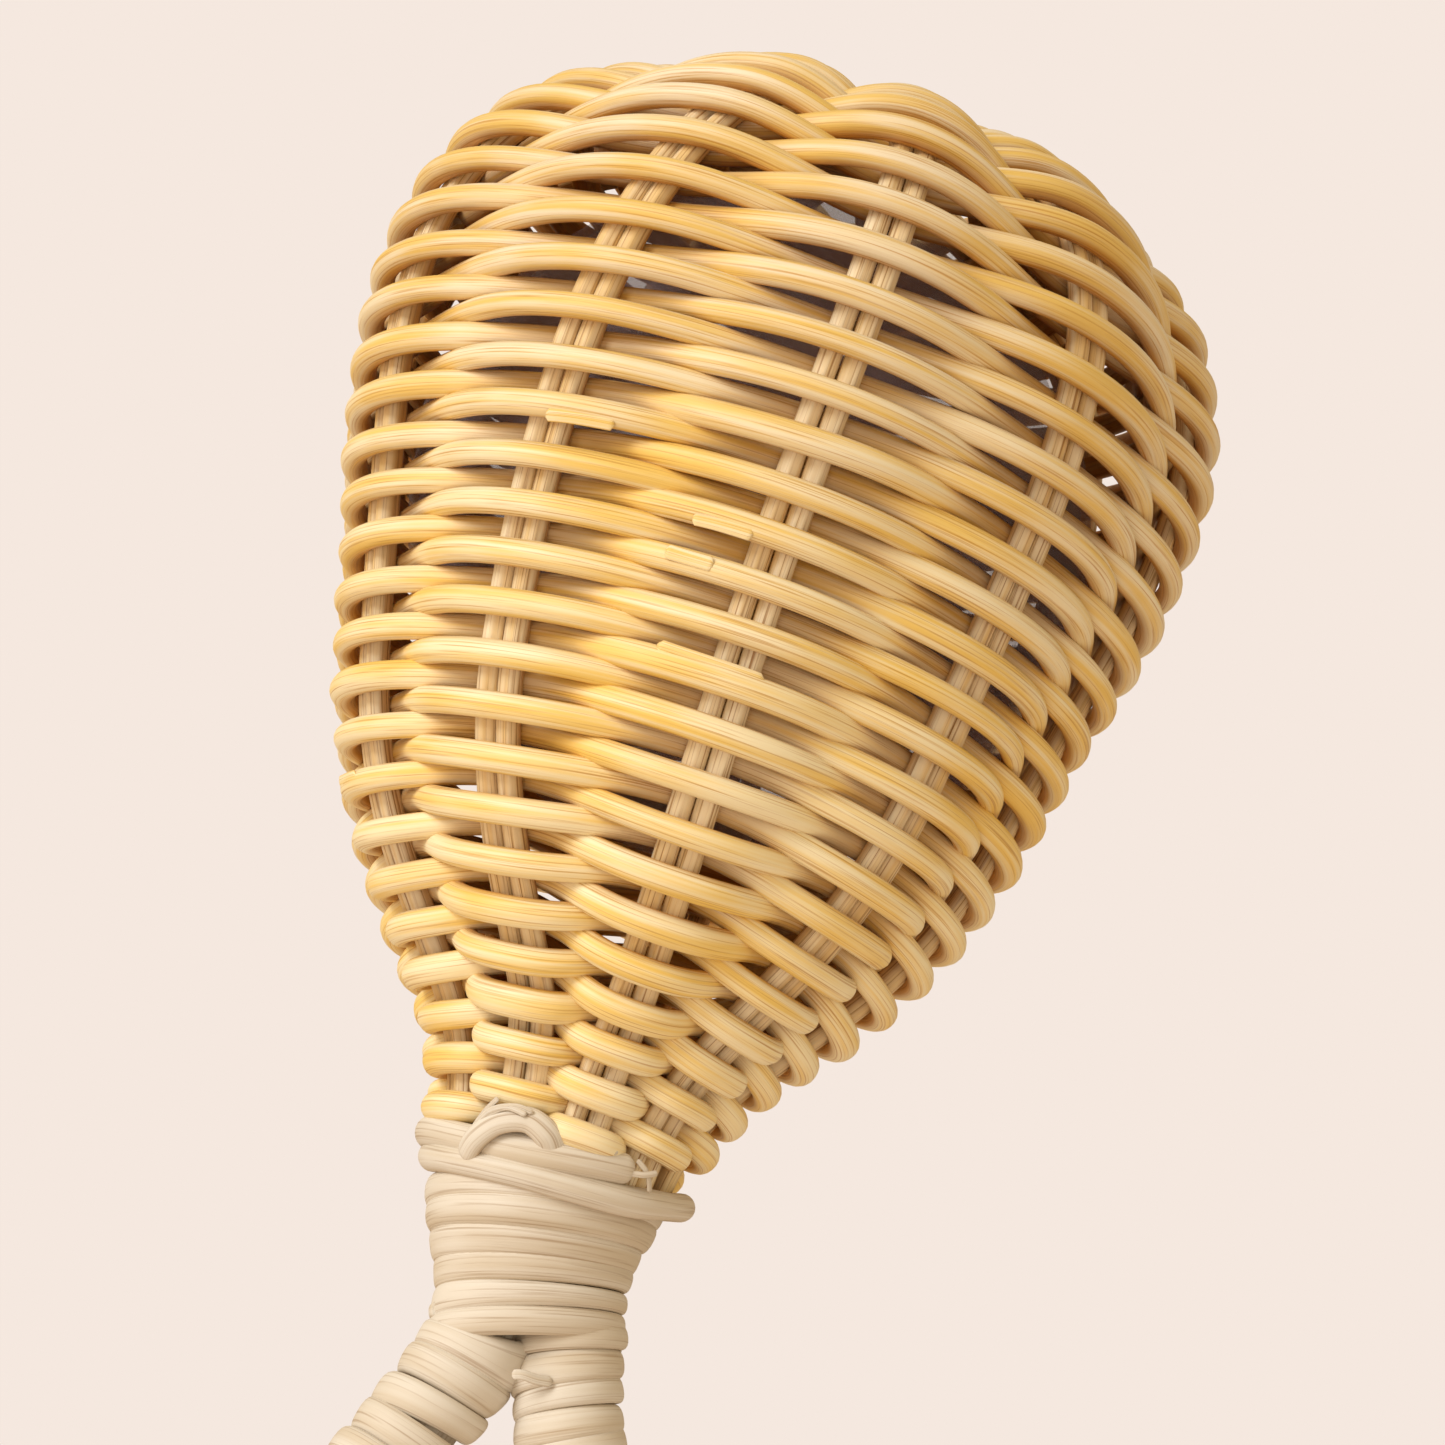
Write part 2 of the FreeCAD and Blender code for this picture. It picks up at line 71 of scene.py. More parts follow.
right = Vector((math.cos(SWING), math.sin(LEAN_AWAY) * math.sin(SWING), math.sin(SWING) * math.cos(LEAN_AWAY)))
up = Vector((-math.sin(SWING), math.sin(LEAN_AWAY) * math.cos(SWING), math.cos(SWING) * math.cos(LEAN_AWAY)))
back = Vector((0, -math.cos(LEAN_AWAY), math.sin(LEAN_AWAY)))

camera = bpy.data.objects.new("camera", bpy.data.cameras.new("camera"))
camera.data.lens = LENS
camera.data.clip_start = 10 * MM
turned = Matrix((right, up, back)).transposed().to_4x4()
camera.matrix_world = Matrix.Translation(AIM - AIM_RIGHT * right - AIM_ABOVE * up + EYE_DISTANCE * back) @ turned
bpy.context.scene.collection.objects.link(camera)
bpy.context.scene.camera = camera
bpy.context.scene.view_settings.view_transform = "Standard"


def soft_light(name, sideways, upwards, nearer, width, watts, colour):
    """Square lamp at an offset from the aim point, in the view's own directions, turned to face the head."""
    lamp = bpy.data.objects.new(name, bpy.data.lights.new(name, "AREA"))
    offset = sideways * right + upwards * up + nearer * back
    lamp.data.shape = "SQUARE"
    lamp.data.size = width
    lamp.data.energy = watts
    lamp.data.color = colour
    lamp.matrix_world = Matrix.Translation(AIM + offset) @ offset.to_track_quat("Z", "Y").to_matrix().to_4x4()
    bpy.context.scene.collection.objects.link(lamp)


soft_light("key_light", -0.62, 0.65, 0.55, 0.50, 7.7, (1.0, 0.98, 0.95))
soft_light("fill_light", -0.10, -0.15, 0.95, 0.80, 2.2, (1.0, 0.97, 0.92))

room = bpy.data.worlds.new("pale_room")
room.use_nodes = True
surround = room.node_tree.nodes["Background"]
seen = room.node_tree.nodes.new("ShaderNodeBackground")
chosen = room.node_tree.nodes.new("ShaderNodeMixShader")
ray = room.node_tree.nodes.new("ShaderNodeLightPath")
surround.inputs["Color"].default_value = (1.0, 0.80, 0.55, 1)
surround.inputs["Strength"].default_value = 0.66
seen.inputs["Color"].default_value = PALE_ROOM
room.node_tree.links.new(ray.outputs["Is Camera Ray"], chosen.inputs[0])
room.node_tree.links.new(surround.outputs[0], chosen.inputs[1])
room.node_tree.links.new(seen.outputs[0], chosen.inputs[2])
room.node_tree.links.new(chosen.outputs[0], room.node_tree.nodes["World Output"].inputs["Surface"])
bpy.context.scene.world = room

SHEET_HALF, SHEET_BELOW = 1.5, 0.30
sheet_z = cad_box[0][2] - SHEET_BELOW
sheet_mesh = bpy.data.meshes.new("pale_sheet")
sheet_mesh.from_pydata([(x, y, sheet_z) for x, y in ((-SHEET_HALF, -SHEET_HALF), (SHEET_HALF, -SHEET_HALF),
                                                     (SHEET_HALF, SHEET_HALF), (-SHEET_HALF, SHEET_HALF))],
                       [], [(0, 1, 2, 3)])
pale_sheet = bpy.data.objects.new("pale_sheet", sheet_mesh)
paper = bpy.data.materials.new("paper")
paper.use_nodes = True
paper.node_tree.nodes["Principled BSDF"].inputs["Base Color"].default_value = PALE_ROOM
paper.node_tree.nodes["Principled BSDF"].inputs["Roughness"].default_value = 0.9
sheet_mesh.materials.append(paper)
bpy.context.scene.collection.objects.link(pale_sheet)

# Long rods --------------------------------------------------------------------------------------
# Nine straight rods of peeled rattan core, pale and finely grooved along their length. Five lie side by side
# across the crown under the other four, and their eighteen ends run down the head in nine pairs to the neck.
ROD_R = 0.93 * MM
ROD_OFFSET = 0.97 * MM              # from the middle of a pair to each of its rods
PAIRS = 9
PAIR_STEP = math.radians(360 / PAIRS)
FIRST_PAIR = math.radians(-41.9)
ROD_TAIL = 4.5 * MM                 # down into the neck
TAIL_TUCK = 0.45                    # how steeply the tails draw in towards the neck's axis
CROWN_EDGE = 10.4 * MM              # where the rods turn from the dome on to the crown
FOOT_R = 8.15 * MM
HEAD_LENGTHS = np.array([13.8, 8.2, 17.5, 19.6, 11.9, 9.9, 13.3, 19.9]) * MM
HEAD_LEANS = np.radians([2.6, 38.9, 38.9, 15.0, 15.0, 2.3, -21.9, -66.8, -85.4])
HEAD_HEIGHT = 89 * MM
BOW = 4 * MM                        # B in the bow's formula; the head is bowed by well under a millimetre
# Each pair strays from its even place: (all along, steadily, bowed, twisted), in degrees
STRAY = np.radians([(-5, -7, -3.5, 0), (-3, -6, -1, 0), (-2, -5, 0, 0), (0, -2, 0, 0), (1, 2, 0, 0),
                    (1, 4, 0, 0), (1.3, 5, 0, 0), (4.5, 9, 17, -11), (-1, 1, 4.4, -3.5)])
STRAY_MIDDLE = 50 * MM
STRAY_FROM, STRAY_TO = -0.75, 0.9
chance = np.random.default_rng(7)


def outline(start_across, lengths, leans, before):
    """Table (length, across, along, lean) of a line of tangent arcs. Its lean from the axis changes evenly
    along each length, and its place is the running sum of (sin lean, cos lean) times the step."""
    knots = np.concatenate([[0], np.cumsum(lengths)])
    length = np.linspace(-before, knots[-1], 8001)
    lean = np.interp(length, knots, leans)
    step = np.diff(length)
    middle = (lean[:-1] + lean[1:]) / 2
    across = np.concatenate([[0], np.cumsum(np.sin(middle) * step)])
    along = np.concatenate([[0], np.cumsum(np.cos(middle) * step)])
    across += start_across - np.interp(0, length, across)
    along -= np.interp(0, length, along)
    return length, across, along, lean


def read_outline(table, length):
    """Across, along and lean of an outline at these lengths, which may be an array of any shape."""
    return tuple(np.interp(length, table[0], column) for column in table[1:])


HEAD = outline(FOOT_R, HEAD_LENGTHS, HEAD_LEANS, ROD_TAIL)


def stray(pair, length):
    """Angle by which a pair is off its even place: c0 + c1 t + c2 (t*t - 0.33) + c3 t*t*t, for t from the
    foot, -1, to the crown, 1."""
    t = np.clip((length - STRAY_MIDDLE) / STRAY_MIDDLE, STRAY_FROM, STRAY_TO)
    c = STRAY[pair]
    return c[..., 0] + c[..., 1] * t + c[..., 2] * (t * t - 0.33) + c[..., 3] * t ** 3


def on_head(length, azimuth, sideways, lift):
    """Points and outward normals of the head's surface of revolution, moved sideways around the axis and
    lifted along the normal (cos lean cos a, cos lean sin a, -sin lean). The head is bowed to one side by
    B u*u (u - 0.85), where u is the share of its height."""
    across, along, lean = read_outline(HEAD, length)
    across = across - TAIL_TUCK * np.maximum(0, -length)
    round_x, round_y = np.cos(azimuth), np.sin(azimuth)
    normal = np.stack([np.cos(lean) * round_x, np.cos(lean) * round_y, -np.sin(lean)], axis=-1)
    rise = np.maximum(0, along) / HEAD_HEIGHT
    bow = BOW * rise ** 2 * (rise - 0.85)
    base = np.stack([across * round_x - sideways * round_y + bow, across * round_y + sideways * round_x,
                     FOOT + along], axis=-1)
    return base + normal * np.asarray(lift)[..., None], normal


def unit(vectors):
    """Vectors divided by their lengths, along the last axis."""
    return vectors / np.linalg.norm(vectors, axis=-1, keepdims=True)


def carried(path, outward, out, aside):
    """Section carried along a path: point = path + out * n + aside * (t x n), where t is the path's direction
    and n is the outward direction made square to it. out and aside are rings by points around."""
    heading = unit(np.gradient(path, axis=0))
    normal = unit(outward - heading * np.sum(outward * heading, axis=-1, keepdims=True))
    beside = np.cross(heading, normal)
    return path[:, None] + out[..., None] * normal[:, None] + aside[..., None] * beside[:, None]


def length_of(path):
    """Distance along a path at each of its points."""
    return np.concatenate([[0], np.cumsum(np.linalg.norm(np.diff(path, axis=0), axis=-1))])


def bent(knots, rings):
    """Smooth curve through knots p at an even pace. Between two of them it is (1+2t)(1-t)^2 p + t(1-t)^2 m +
    t^2 (3-2t) q + t^2 (t-1) n, where m and n are the mean steps at the knots p and q."""
    knots = np.array(knots, dtype=float)
    steps = np.gradient(knots, axis=0)
    t = np.linspace(0, len(knots) - 1 - 1e-9, rings)
    low = t.astype(int)
    t = (t - low)[:, None]
    return ((1 + 2 * t) * (1 - t) ** 2 * knots[low] + t * (1 - t) ** 2 * steps[low]
            + t ** 2 * (3 - 2 * t) * knots[low + 1] + t ** 2 * (t - 1) * steps[low + 1])


def wandering(where, spacing):
    """Smooth random curve: normal random values this spacing apart, joined by half cosine waves."""
    place = (where - where.min()) / spacing
    low = np.floor(place).astype(int)
    share = (1 - np.cos(np.pi * (place - low))) / 2
    knots = chance.normal(size=low.max() + 2)
    return knots[low] * (1 - share) + knots[low + 1] * share


def woven_piece(name, strands, material, body, stands_for):
    """Mesh object of closed strands. Each strand is (grid of points, rings by points around; distance along
    of each ring; dive of each ring from 0 on the outside to 1 inside). Rings are joined by quads and the two
    ends closed. Its UV map is (metres along, share around), a random distance on for each strand."""
    points, corners, sizes, sheet, dives, first = [], [], [], [], [], 0
    for grid, along, dive in strands:
        rings, around = grid.shape[:2]
        number = first + np.arange(rings * around).reshape(rings, around)
        beside = np.roll(number, -1, axis=1)
        quads = np.stack([number[:-1], beside[:-1], beside[1:], number[1:]], axis=-1)
        share = np.broadcast_to(np.arange(around) / around, (rings - 1, around))
        low, high = (np.broadcast_to(part[:, None], share.shape) for part in (along[:-1], along[1:]))
        start = chance.uniform(0, 5)
        quad_along = start + np.stack([low, low, high, high], axis=-1)
        quad_share = np.stack([share, share + 1 / around, share + 1 / around, share], axis=-1)
        ends = np.stack([number[0][::-1], number[-1]])
        end_along = start + np.repeat([[along[0]], [along[-1]]], around, axis=1)
        end_share = np.stack([share[0][::-1], share[0]])
        points.append(grid.reshape(-1, 3))
        corners += [quads.ravel(), ends.ravel()]
        sizes += [np.full((rings - 1) * around, 4), np.full(2, around)]
        sheet += [np.stack([quad_along, quad_share], axis=-1).reshape(-1, 2),
                  np.stack([end_along, end_share], axis=-1).reshape(-1, 2)]
        dives.append(np.repeat(dive, around))
        first += rings * around
    corners, sizes = np.concatenate(corners), np.concatenate(sizes)
    mesh = bpy.data.meshes.new(name)
    mesh.vertices.add(first)
    mesh.vertices.foreach_set("co", np.concatenate(points).ravel().astype(np.float32))
    mesh.loops.add(len(corners))
    mesh.loops.foreach_set("vertex_index", corners.astype(np.int32))
    mesh.polygons.add(len(sizes))
    mesh.polygons.foreach_set("loop_start", np.concatenate([[0], np.cumsum(sizes)[:-1]]).astype(np.int32))
    mesh.update(calc_edges=True)
    mesh.uv_layers.new(name="along_around").data.foreach_set("uv", np.concatenate(sheet).ravel())
    # The dive also drives the painted shade in the rattan material.
    mesh.attributes.new("dive", "FLOAT", "POINT").data.foreach_set("value", np.concatenate(dives))
    mesh.shade_smooth()
    mesh.materials.append(material)
    piece = bpy.data.objects.new(name, mesh)
    bpy.context.scene.collection.objects.link(piece)
    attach(piece, body)
    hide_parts(*stands_for)
    return piece


class Flow:
    """One output socket in a material. Arithmetic on it adds the Math nodes that work it out."""

    def __init__(self, tree, socket):
        self.tree = tree
        self.socket = socket

    def node(self, kind, settings, sockets, output=0):
        """Output of a new node of this kind. Its settings are made first, a ramp's stops among them, and
        then its sockets get their values or links."""
        made = self.tree.nodes.new(kind)
        for name, value in settings.items():
            if name != "stops":
                setattr(made, name, value)
        for number, (place, colour) in enumerate(settings.get("stops", ())):
            stop = made.color_ramp.elements[number] if number < 2 else made.color_ramp.elements.new(place)
            stop.position = place
            stop.color = colour
        for key, value in sockets.items():
            if isinstance(value, Flow):
                self.tree.links.new(value.socket, made.inputs[key])
            else:
                made.inputs[key].default_value = value
        return Flow(self.tree, made.outputs[output])

    def maths(self, operation, *values):
        return self.node("ShaderNodeMath", {"operation": operation}, dict(enumerate(values)))

    def between(self, low, high):
        """0 at low, 1 at high and smooth between."""
        return self.node("ShaderNodeMapRange", {"interpolation_type": "SMOOTHSTEP"},
                         {"Value": self, "From Min": low, "From Max": high})

    def blend(self, first, second):
        """Colour that goes from the first to the second as this value goes from 0 to 1."""
        return self.node("ShaderNodeMix", {"data_type": "RGBA"}, {0: self, 6: first, 7: second}, 2)

    def __add__(self, other):
        return self.maths("ADD", self, other)

    def __sub__(self, other):
        return self.maths("SUBTRACT", self, other)

    def __rsub__(self, other):
        return self.maths("SUBTRACT", other, self)

    def __mul__(self, other):
        return self.maths("MULTIPLY", self, other)

    __radd__ = __add__
    __rmul__ = __mul__


def new_material(name):
    """Material with its shader node and a place to start a flow from."""
    material = bpy.data.materials.new(name)
    material.use_nodes = True
    tree = material.node_tree
    return material, tree.nodes["Principled BSDF"], Flow(tree, None)


def rattan(name, pale, deep, line, upper_tint, painted_shade_tint, fibres, lines, roughness):
    """Peeled rattan: pale and deep streaks along the strand, fine dark fibre lines, a deeper tint of painted
    shade where the strand dives behind or its surface turns inwards, and a greyer, darker tint towards the top of
    the head."""
    material, shader, start = new_material(name)
    strand = start.node("ShaderNodeTexCoord", {}, {}, 2)
    place = start.node("ShaderNodeTexCoord", {}, {}, 3)
    along = start.node("ShaderNodeSeparateXYZ", {}, {0: strand}, 0)
    share = start.node("ShaderNodeSeparateXYZ", {}, {0: strand}, 1)
    height = start.node("ShaderNodeSeparateXYZ", {}, {0: place}, 2)
    dive = start.node("ShaderNodeAttribute", {"attribute_name": "dive"}, {}, 2)

    def streaks(per_metre, around, detail):
        stretched = start.node("ShaderNodeCombineXYZ", {}, {0: along * per_metre, 1: share * around})
        return start.node("ShaderNodeTexNoise", {}, {"Vector": stretched, "Scale": 1.0, "Detail": detail,
                                                     "Roughness": 0.6})

    fine = streaks(70, fibres, 3.0)
    broad = streaks(28, fibres / 5, 2.0)
    patch = start.node("ShaderNodeTexNoise", {}, {"Vector": place, "Scale": 75.0, "Detail": 2.0})
    tone = (broad * 0.6 + patch * 0.4).between(0.38, 0.62)
    bare = tone.blend(deep, pale)
    turned_in = share.maths("ABSOLUTE", share - 0.5)
    # Greyer, darker tint that grows towards the top of the head.
    towards_top = height.between(FOOT + 30 * MM, FOOT + 75 * MM) * 0.75
    aged = towards_top.blend(bare, start.node("ShaderNodeMix", {"data_type": "RGBA", "blend_type": "MULTIPLY"},
                                      {0: 1.0, 6: bare, 7: upper_tint}, 2))
    lined = (fine.between(0.50, 0.30) * lines).blend(aged, line)
    # Painted shade: where the strand dives behind a pair or its surface turns inwards, its colour is multiplied by
    # the shade tint, standing in for the shade that falls there.
    shaded = dive.between(0.45, 1.0) * 0.3 + turned_in.between(0.17, 0.33) * 0.7
    behind = shaded.blend(lined, start.node("ShaderNodeMix", {"data_type": "RGBA", "blend_type": "MULTIPLY"},
                                            {0: 1.0, 6: lined, 7: painted_shade_tint}, 2))
    start.tree.links.new(behind.socket, shader.inputs["Base Color"])
    start.tree.links.new((fine * 0.25 + roughness).socket, shader.inputs["Roughness"])
    relief = start.node("ShaderNodeBump", {}, {"Strength": 0.5, "Distance": 0.00012,
                                               "Height": fine * 0.7 + broad * 0.5})
    start.tree.links.new(relief.socket, shader.inputs["Normal"])
    return material


ROD_SIDES = 32
GROOVES = 7
RING_STEP = 0.8 * MM


def rod_section(path_length):
    """Round section with grooves: r = R (1 - 0.07 g^3), where g runs from 0 to 1 and back for each groove."""
    angle = np.pi + 2 * np.pi * np.arange(ROD_SIDES) / ROD_SIDES
    start = chance.uniform(0, 2 * np.pi)
    sway = 0.25 * wandering(path_length, 30 * MM)[:, None]
    groove = (0.5 + 0.5 * np.cos(GROOVES * angle + 0.5 * np.sin(2 * angle + start) + start + sway)) ** 3
    radius = ROD_R * (1 - 0.07 * groove) * (1 + 0.015 * wandering(path_length, 12 * MM)[:, None])
    return radius * np.cos(angle), radius * np.sin(angle)


NEAR_CROWN = slice(-2500, None)     # the outline's last points, where it only draws in
edge_length = np.interp(-CROWN_EDGE, -HEAD[1][NEAR_CROWN], HEAD[0][NEAR_CROWN])
climb = np.arange(-ROD_TAIL, edge_length, RING_STEP)
ends = []
for pair in range(PAIRS):
    for side in (-1, 1):
        azimuth = FIRST_PAIR + pair * PAIR_STEP + stray(pair, climb)
        path, normal = on_head(climb, azimuth, side * ROD_OFFSET, np.zeros_like(climb))
        ends.append((math.atan2(path[-1, 1], path[-1, 0]), pair, path, normal))
COUNT_FROM = math.radians(-50)      # azimuth from which the ends are counted round the crown
ends.sort(key=lambda end: (end[0] - COUNT_FROM) % (2 * np.pi))

CROSS_PITCH = 1.95 * MM
CROSS_HALF = 4.4 * MM
CROSS_RISE = 0.9 * MM
cross_height = read_outline(HEAD, edge_length)[1] + FOOT


def over_the_crown(near, far, along, aside, height):
    """Curve from one rod end over the crown to another: a cubic in to a straight middle, and out again."""
    square = np.array([-along[1], along[0], 0])
    turns = []
    for (_, _, path, _), side in ((near, 1), (far, -1)):
        inner = along * side * CROSS_HALF + square * aside + np.array([0, 0, height])
        leave = unit(path[-1] - path[-3])
        reach = np.linalg.norm(inner - path[-1])
        t = np.linspace(0, 1, 14)[1:, None]
        turns.append((2 * t ** 3 - 3 * t ** 2 + 1) * path[-1] + (t ** 3 - 2 * t ** 2 + t) * leave * reach
                     + (3 * t ** 2 - 2 * t ** 3) * inner - (t ** 3 - t ** 2) * along * side * reach)
    middle = np.linspace(turns[0][-1], turns[1][-1], 12)[1:-1]
    return np.concatenate([turns[0], middle, turns[1][::-1]])


# The fifth colour is the tint of the painted shade where a rod's surface turns inwards.
rod_stuff = rattan("rod_rattan", (0.90, 0.79, 0.55, 1), (0.80, 0.58, 0.25, 1), (0.36, 0.18, 0.05, 1),
                   (0.93, 0.90, 0.88, 1), (0.76, 0.50, 0.24, 1), 26, 0.95, 0.42)
rod_number = 0
# Ends in order round the crown: (first end, last end opposite, rods, the way they run, layer from below)
CROWN_LAYERS = ((0, 13, 5, np.array([1.0, 0, 0]), 0), (5, 17, 4, np.array([0, 1.0, 0]), 1))
for first, last, count, along, layer in CROWN_LAYERS:
    for rod in range(count):
        near, far = ends[first + rod], ends[last - rod]
        turned_aside = (rod - (count - 1) / 2) * CROSS_PITCH
        bridge = over_the_crown(near, far, along, turned_aside, cross_height + CROSS_RISE + layer * CROSS_PITCH)
        path = np.concatenate([near[2], bridge, far[2][::-1]])
        flat_top = np.tile([0, 0, 1.0], (len(bridge), 1))
        normal = np.concatenate([near[3], flat_top, far[3][::-1]])
        distance = length_of(path)
        out, aside = rod_section(distance)
        rod_number += 1
        rod_strand = (carried(path, normal, out, aside), distance, np.zeros(len(path)))
        woven_piece(f"long_rod_{rod_number}", [rod_strand], rod_stuff, "root",
                    (f"stake_pair_{rod_number}", ("crown_rods_under", "crown_rods_over")[layer]))

# Weaver reeds -----------------------------------------------------------------------------------
# Seven lengths of round reed woven in one climbing spiral, over one pair of rods and under the next. Each
# starts and ends inside behind a pair. The reed is split core, honey coloured, and never quite even.
WEAVE_START = 2.72 * MM             # along the rods, from the head's foot
ROW_PITCH = 1.87 * MM
REED_JOINS = (0, 70, 140, 212, 284, 354, 424, 496)   # pairs passed, from the foot
REED_R = 1.03 * MM
WEAVE_LIFT = 1.86 * MM
END_TUCK = 0.03                     # each reed stops this share of a step short of its joint
REED_SIDES = 20
RINGS_PER_STEP = 22
BELLY_STEP = 22 * MM                # from pair to pair at the widest

# The fifth colour is the tint of the painted shade where a reed dives behind a pair or its surface turns inwards.
reed_stuff = rattan("reed_rattan", (0.90, 0.79, 0.52, 1), (0.84, 0.58, 0.14, 1), (0.50, 0.24, 0.03, 1),
                    (0.84, 0.82, 0.92, 1), (0.70, 0.36, 0.05, 1), 42, 0.8, 0.36)


def reed_path(passed):
    """Centre line of the spiral at these numbers of pairs passed. Its lift is that of a reed sprung over and
    under the pairs: tanh(b c) / tanh(b) for c = -cos(pi passed), flatter over a pair where the pairs are close."""
    length = WEAVE_START + ROW_PITCH * passed / PAIRS + 0.07 * MM * wandering(passed, 0.9)
    low = np.floor(passed).astype(int)
    share = passed - low
    here, following = (stray((-number) % PAIRS, length) for number in (low, low + 1))
    azimuth = FIRST_PAIR - passed * PAIR_STEP + here * (1 - share) + following * share
    across = read_outline(HEAD, length)[0]
    crowding = np.clip(BELLY_STEP / (PAIR_STEP * across) - 1, 0, 2.5)
    wave = -np.cos(np.pi * passed)
    flatness = 0.35 + 0.5 * crowding
    wave = np.tanh(flatness * wave) / np.tanh(flatness)
    lift = WEAVE_LIFT * wave * (1 + 0.035 * wandering(passed, 1.0))
    path, normal = on_head(length, azimuth, np.zeros_like(length), lift)
    return path, normal, (1 - wave) / 2, crowding


def reed_section(passed, dive, crowding):
    """Section that is nearly round: r = R (1 + lobes), wider along the rods on the crests near the foot."""
    angle = np.pi + 2 * np.pi * np.arange(REED_SIDES) / REED_SIDES
    lobes = sum(size * np.cos(count * angle + wandering(passed, 6.0)[:, None] * 2)
                for size, count in ((0.022, 2), (0.014, 3), (0.012, 5)))
    crowded = np.minimum(1, crowding)
    radius = REED_R * (1 + lobes) * (1 + 0.045 * wandering(passed, 2.3) + 0.07 * crowded)[:, None]
    crest = (1 - dive) * crowded
    out, aside = radius * np.cos(angle), radius * np.sin(angle)
    return out * (1 - 0.06 * crest[:, None]), aside * (1 + 0.10 * crest[:, None])


for reed in range(len(REED_JOINS) - 1):
    begin, end = REED_JOINS[reed] + END_TUCK, REED_JOINS[reed + 1] - END_TUCK
    passed = np.linspace(begin, end, round((end - begin) * RINGS_PER_STEP))
    path, normal, dive, crowding = reed_path(passed)
    out, aside = reed_section(passed, dive, crowding)
    woven_piece(f"weaver_reed_{reed + 1}", [(carried(path, normal, out, aside), length_of(path), dive)],
                reed_stuff, "root", (f"weaver_{reed + 1}",))

# Neck binding -----------------------------------------------------------------------------------
# One long strip of bleached rattan, wound tightly down the neck from the foot of the head to the fork of the
# loop: round over the rods' ends, then flat over the two legs. It was wound aslant, and the neck has been
# pulled a little to one side.
NECK_TURNS = 6
NECK_FROM, NECK_TO = 1.0 * MM, 12.5 * MM    # below the head's foot
STRIP_THICKNESS = 1.25 * MM
STRIP_SIDES = 20
NECK_DOWN = np.array([1.0, 4.0, 6.0, 8.0, 11.5, 13.5]) * MM
NECK_HALF_WIDTH = np.array([8.0, 7.4, 6.85, 6.5, 6.4, 6.0]) * MM
NECK_HALF_DEPTH = np.array([8.1, 7.4, 6.2, 5.4, 4.4, 3.6]) * MM
SLANT_DOWN = np.array([0, 6, 13]) * MM
SLANT = np.array([0.10, 0.15, 0.27])
PULLED = 1.9 * MM
PULL_FROM, PULL_TO, PULL_EASES, PULL_GONE = 2 * MM, 14 * MM, 30 * MM, 75 * MM

# The fifth colour is the tint of the painted shade where the strip's surface turns inwards.
strip_stuff = rattan("bleached_strip", (0.70, 0.655, 0.575, 1), (0.60, 0.52, 0.40, 1), (0.36, 0.25, 0.15, 1),
                     (1, 1, 1, 1), (0.80, 0.66, 0.50, 1), 30, 0.7, 0.5)


def smooth_step(value, low, high):
    """t*t (3 - 2 t), where t goes from 0 at low to 1 at high."""
    t = np.clip((value - low) / (high - low), 0, 1)
    return t * t * (3 - 2 * t)


def pulled(down):
    """How far the neck and the loop are pulled to one side at this depth below the head's foot."""
    return PULLED * smooth_step(down, PULL_FROM, PULL_TO) * (1 - smooth_step(down, PULL_EASES, PULL_GONE))


def wound(place, first, last, pitch, width, thickness, shingle):
    """Strip wound around a core: at the turn angle a its middle is at the length first + pitch a / 2 pi. A
    section point (aside, lift) lies at place(length + aside, -a, lift), and shingle tilts the section."""
    turns = (last - first) / pitch
    angle = np.linspace(0, 2 * np.pi * turns, int(turns * 48))
    around = np.pi + 2 * np.pi * np.arange(STRIP_SIDES) / STRIP_SIDES
    cosine, sine = np.cos(around), np.sin(around)
    wide = width / 2 * (1 + 0.10 * wandering(angle, 2.6))[:, None]
    thick = thickness / 2 * (1 + 0.10 * wandering(angle, 4.0))[:, None]
    aside = -wide * np.sign(sine) * np.abs(sine) ** 0.8
    tilt = shingle + 0.05 * wandering(angle, 5.0)[:, None]
    lift = thick * (1 + np.sign(cosine) * np.abs(cosine) ** 0.9) + tilt * aside
    middle = first + pitch * angle / (2 * np.pi) + 0.09 * pitch * wandering(angle, 3.4)
    points = place(middle[:, None] + aside, -angle[:, None] + 0 * aside, lift)
    centre = points.mean(axis=1)
    return points, length_of(centre), np.zeros(len(centre))


def around_neck(down, angle, lift):
    """Point on the neck: an oval of the half width and half depth there, grown by the lift. It is lowered on
    one side by the slant of the winding."""
    half_width, half_depth = (np.interp(down, NECK_DOWN, size) for size in (NECK_HALF_WIDTH, NECK_HALF_DEPTH))
    x = (half_width + lift) * np.cos(angle)
    down = down - np.interp(down, SLANT_DOWN, SLANT) * x
    return np.stack([x + pulled(down), (half_depth + lift) * np.sin(angle), FOOT - down], axis=-1)


neck_pitch = (NECK_TO - NECK_FROM) / NECK_TURNS
neck_strip = wound(around_neck, NECK_FROM, NECK_TO, neck_pitch, neck_pitch * 1.16, STRIP_THICKNESS, 0.06)
woven_piece("neck_strip", [neck_strip], strip_stuff, "root", ("neck_binding",))

# Collar -----------------------------------------------------------------------------------------
# Two strands of the same rattan bound around the feet of the rods, where the weave ends. The lower goes all
# the way round and stands out on the right. The upper stops short in front, where it was cut.
STRAND_R = 1.0 * MM
STRAND_SIDES = 20
